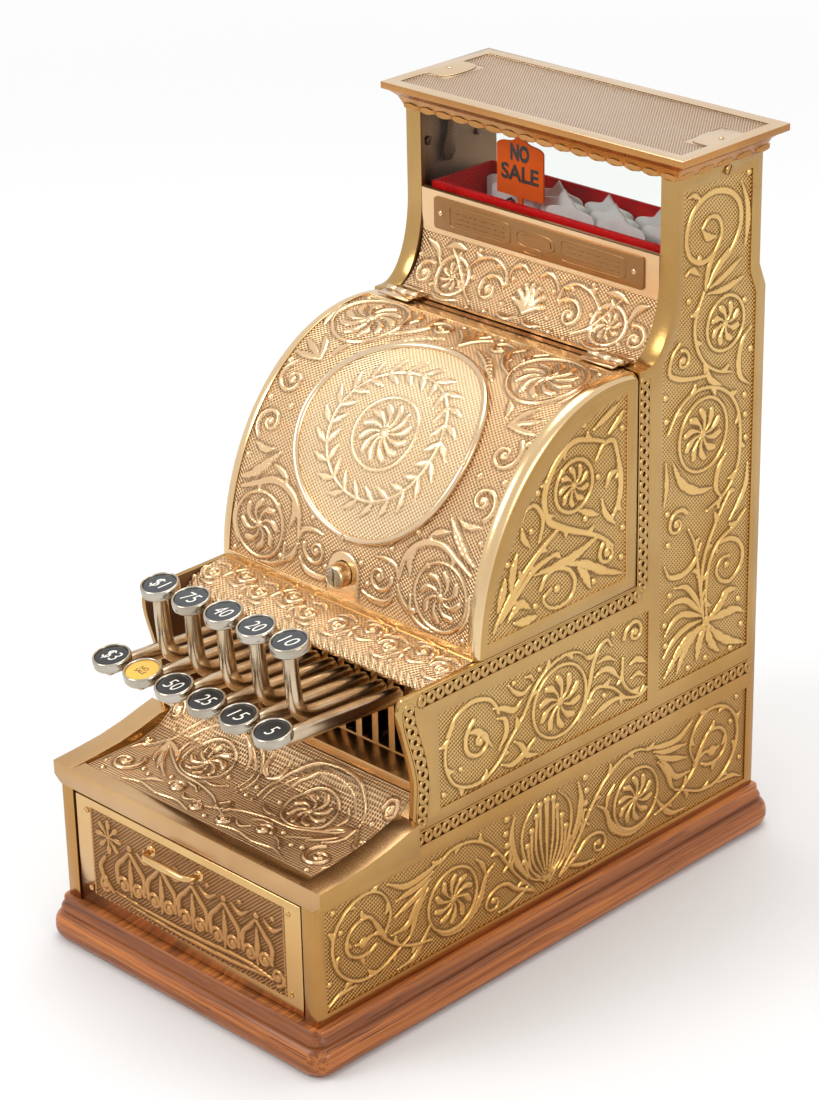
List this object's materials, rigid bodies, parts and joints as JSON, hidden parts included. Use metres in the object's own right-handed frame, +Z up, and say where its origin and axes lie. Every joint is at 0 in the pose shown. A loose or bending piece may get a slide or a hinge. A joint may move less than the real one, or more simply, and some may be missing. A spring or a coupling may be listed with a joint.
{
  "type": "antique cash register",
  "caption": "Antique counter cash register: embossed brass cabinet on an oak base, curved hood, round keys on levers, indicator window with tablets, sliding drawer.",
  "frame": {"origin": "on the surface it stands on, under the middle of the oak base", "axes": "+Z up, +X to the viewer's right when facing the keys, the front with keys and drawer faces -Y"},
  "size_m": [0.22, 0.3718, 0.4289],
  "materials": {
    "oak": "varnished reddish oak, worn",
    "brass_yellow": "embossed and polished, patina in the ground",
    "brass_rose": "embossed and polished, slightly pink",
    "brass_cream": "plain polished",
    "brass_aged": "worn, browner patina",
    "nickel": "worn nickel plate with a warm tinge",
    "steel": "plain turned steel",
    "drawer_wood": "plain light wood",
    "red_tin": "dark red enamel with a brighter rim",
    "tablet_white": "off-white enamel",
    "tablet_orange": "orange enamel with black words",
    "counter_iron": "black japanned",
    "window_glass": "clear flat glass"
  },
  "bodies": {
    "cabinet": {"wood_base": "oak", "left_side_plate": "brass_yellow", "right_side_plate": "brass_yellow", "rear_cover": "brass_yellow", "tower_front_plate": "brass_rose", "tower_name_plate": "brass_cream", "front_glass": "window_glass", "rear_glass": "window_glass", "crown_plate": "brass_cream", "coin_shelf": "brass_aged", "key_comb": "brass_aged", "keyboard_cover": "brass_rose", "key_shaft": "steel", "tablet_tray": "red_tin", "hinge_left_fixed": "brass_cream", "hinge_right_fixed": "brass_cream", "adding_counter": "counter_iron", "drawer_bell": "steel"},
    "hood": {"hood_cover": "brass_rose", "medallion_plate": "brass_cream", "hinge_left_moving": "brass_cream", "hinge_right_moving": "brass_cream"},
    "lock": {"lock_barrel": "nickel"},
    "drawer": {"drawer_box": "drawer_wood", "drawer_front": "brass_cream", "drawer_plate": "brass_aged", "drawer_pull": "brass_cream"},
    "key_5": {"lever_5": "nickel", "cap_5": "nickel"},
    "indicator_5": {"tablet_5": "tablet_white"},
    "key_10": {"lever_10": "nickel", "cap_10": "nickel"},
    "indicator_10": {"tablet_10": "tablet_white"},
    "key_15": {"lever_15": "nickel", "cap_15": "nickel"},
    "indicator_15": {"tablet_15": "tablet_white"},
    "key_20": {"lever_20": "nickel", "cap_20": "nickel"},
    "indicator_20": {"tablet_20": "tablet_white"},
    "key_25": {"lever_25": "nickel", "cap_25": "nickel"},
    "indicator_25": {"tablet_25": "tablet_white"},
    "key_40": {"lever_40": "nickel", "cap_40": "nickel"},
    "indicator_40": {"tablet_40": "tablet_white"},
    "key_50": {"lever_50": "nickel", "cap_50": "nickel"},
    "indicator_50": {"tablet_50": "tablet_white"},
    "key_75": {"lever_75": "nickel", "cap_75": "nickel"},
    "indicator_75": {"tablet_75": "tablet_white"},
    "key_no_sale": {"lever_no_sale": "nickel", "cap_no_sale": "nickel"},
    "indicator_no_sale": {"tablet_no_sale": "tablet_orange"},
    "key_1_dollar": {"lever_1_dollar": "nickel", "cap_1_dollar": "nickel"},
    "indicator_1_dollar": {"tablet_1_dollar": "tablet_white"},
    "key_3_dollar": {"lever_3_dollar": "nickel", "cap_3_dollar": "nickel"},
    "indicator_3_dollar": {"tablet_3_dollar": "tablet_white"}
  },
  "joints": [
    {"name": "drawer_slide", "type": "slide", "parent": "cabinet", "child": "drawer", "axis": [0, -1, 0], "range_m": [0, 0.2]},
    {"name": "hood_hinge", "type": "hinge", "parent": "cabinet", "child": "hood", "pos_m": [0, 0.0715, 0.3181], "axis": [-1, 0, 0], "range_deg": [0, 80]},
    {"name": "lock_turn", "type": "hinge", "parent": "hood", "child": "lock", "pos_m": [-0.002, -0.0689, 0.21], "axis": [0, 1, 0], "range_deg": [0, 90]},
    {"name": "key_5_press", "type": "hinge", "parent": "cabinet", "child": "key_5", "pos_m": [0.062, -0.0411, 0.1665], "axis": [1, 0, 0], "range_deg": [0, 9.5], "stiffness_Nm_per_rad": 0.6, "springref_deg": -11.46},
    {"name": "indicator_5_slide", "type": "slide", "parent": "cabinet", "child": "indicator_5", "axis": [0, 0, 1], "range_m": [0, 0.033]},
    {"name": "key_10_press", "type": "hinge", "parent": "cabinet", "child": "key_10", "pos_m": [0.0496, -0.0411, 0.1665], "axis": [1, 0, 0], "range_deg": [0, 9.5], "stiffness_Nm_per_rad": 0.6, "springref_deg": -11.46},
    {"name": "indicator_10_slide", "type": "slide", "parent": "cabinet", "child": "indicator_10", "axis": [0, 0, 1], "range_m": [0, 0.033]},
    {"name": "key_15_press", "type": "hinge", "parent": "cabinet", "child": "key_15", "pos_m": [0.0372, -0.0411, 0.1665], "axis": [1, 0, 0], "range_deg": [0, 9.5], "stiffness_Nm_per_rad": 0.6, "springref_deg": -11.46},
    {"name": "indicator_15_slide", "type": "slide", "parent": "cabinet", "child": "indicator_15", "axis": [0, 0, 1], "range_m": [0, 0.033]},
    {"name": "key_20_press", "type": "hinge", "parent": "cabinet", "child": "key_20", "pos_m": [0.0248, -0.0411, 0.1665], "axis": [1, 0, 0], "range_deg": [0, 9.5], "stiffness_Nm_per_rad": 0.6, "springref_deg": -11.46},
    {"name": "indicator_20_slide", "type": "slide", "parent": "cabinet", "child": "indicator_20", "axis": [0, 0, 1], "range_m": [0, 0.033]},
    {"name": "key_25_press", "type": "hinge", "parent": "cabinet", "child": "key_25", "pos_m": [0.0124, -0.0411, 0.1665], "axis": [1, 0, 0], "range_deg": [0, 9.5], "stiffness_Nm_per_rad": 0.6, "springref_deg": -11.46},
    {"name": "indicator_25_slide", "type": "slide", "parent": "cabinet", "child": "indicator_25", "axis": [0, 0, 1], "range_m": [0, 0.033]},
    {"name": "key_40_press", "type": "hinge", "parent": "cabinet", "child": "key_40", "pos_m": [0, -0.0411, 0.1665], "axis": [1, 0, 0], "range_deg": [0, 9.5], "stiffness_Nm_per_rad": 0.6, "springref_deg": -11.46},
    {"name": "indicator_40_slide", "type": "slide", "parent": "cabinet", "child": "indicator_40", "axis": [0, 0, 1], "range_m": [0, 0.033]},
    {"name": "key_50_press", "type": "hinge", "parent": "cabinet", "child": "key_50", "pos_m": [-0.0124, -0.0411, 0.1665], "axis": [1, 0, 0], "range_deg": [0, 9.5], "stiffness_Nm_per_rad": 0.6, "springref_deg": -11.46},
    {"name": "indicator_50_slide", "type": "slide", "parent": "cabinet", "child": "indicator_50", "axis": [0, 0, 1], "range_m": [0, 0.033]},
    {"name": "key_75_press", "type": "hinge", "parent": "cabinet", "child": "key_75", "pos_m": [-0.0248, -0.0411, 0.1665], "axis": [1, 0, 0], "range_deg": [0, 9.5], "stiffness_Nm_per_rad": 0.6, "springref_deg": -11.46},
    {"name": "indicator_75_slide", "type": "slide", "parent": "cabinet", "child": "indicator_75", "axis": [0, 0, 1], "range_m": [0, 0.033]},
    {"name": "key_no_sale_press", "type": "hinge", "parent": "cabinet", "child": "key_no_sale", "pos_m": [-0.0372, -0.0411, 0.1665], "axis": [1, 0, 0], "range_deg": [0, 9.5], "stiffness_Nm_per_rad": 0.6, "springref_deg": -11.46},
    {"name": "indicator_no_sale_slide", "type": "slide", "parent": "cabinet", "child": "indicator_no_sale", "axis": [0, 0, 1], "range_m": [-0.03, 0]},
    {"name": "key_1_dollar_press", "type": "hinge", "parent": "cabinet", "child": "key_1_dollar", "pos_m": [-0.0496, -0.0411, 0.1665], "axis": [1, 0, 0], "range_deg": [0, 9.5], "stiffness_Nm_per_rad": 0.6, "springref_deg": -11.46},
    {"name": "indicator_1_dollar_slide", "type": "slide", "parent": "cabinet", "child": "indicator_1_dollar", "axis": [0, 0, 1], "range_m": [0, 0.033]},
    {"name": "key_3_dollar_press", "type": "hinge", "parent": "cabinet", "child": "key_3_dollar", "pos_m": [-0.062, -0.0411, 0.1665], "axis": [1, 0, 0], "range_deg": [0, 9.5], "stiffness_Nm_per_rad": 0.6, "springref_deg": -11.46},
    {"name": "indicator_3_dollar_slide", "type": "slide", "parent": "cabinet", "child": "indicator_3_dollar", "axis": [0, 0, 1], "range_m": [0, 0.033]}
  ],
  "couplings": [
    {"joint": "indicator_5_slide", "follows": "key_5_press", "m_per_rad": 0.1827},
    {"joint": "indicator_10_slide", "follows": "key_10_press", "m_per_rad": 0.192},
    {"joint": "indicator_15_slide", "follows": "key_15_press", "m_per_rad": 0.1735},
    {"joint": "indicator_20_slide", "follows": "key_20_press", "m_per_rad": 0.1827},
    {"joint": "indicator_25_slide", "follows": "key_25_press", "m_per_rad": 0.192},
    {"joint": "indicator_40_slide", "follows": "key_40_press", "m_per_rad": 0.1735},
    {"joint": "indicator_50_slide", "follows": "key_50_press", "m_per_rad": 0.1827},
    {"joint": "indicator_75_slide", "follows": "key_75_press", "m_per_rad": 0.192},
    {"joint": "indicator_1_dollar_slide", "follows": "key_1_dollar_press", "m_per_rad": 0.1827},
    {"joint": "indicator_3_dollar_slide", "follows": "key_3_dollar_press", "m_per_rad": 0.192}
  ]
}
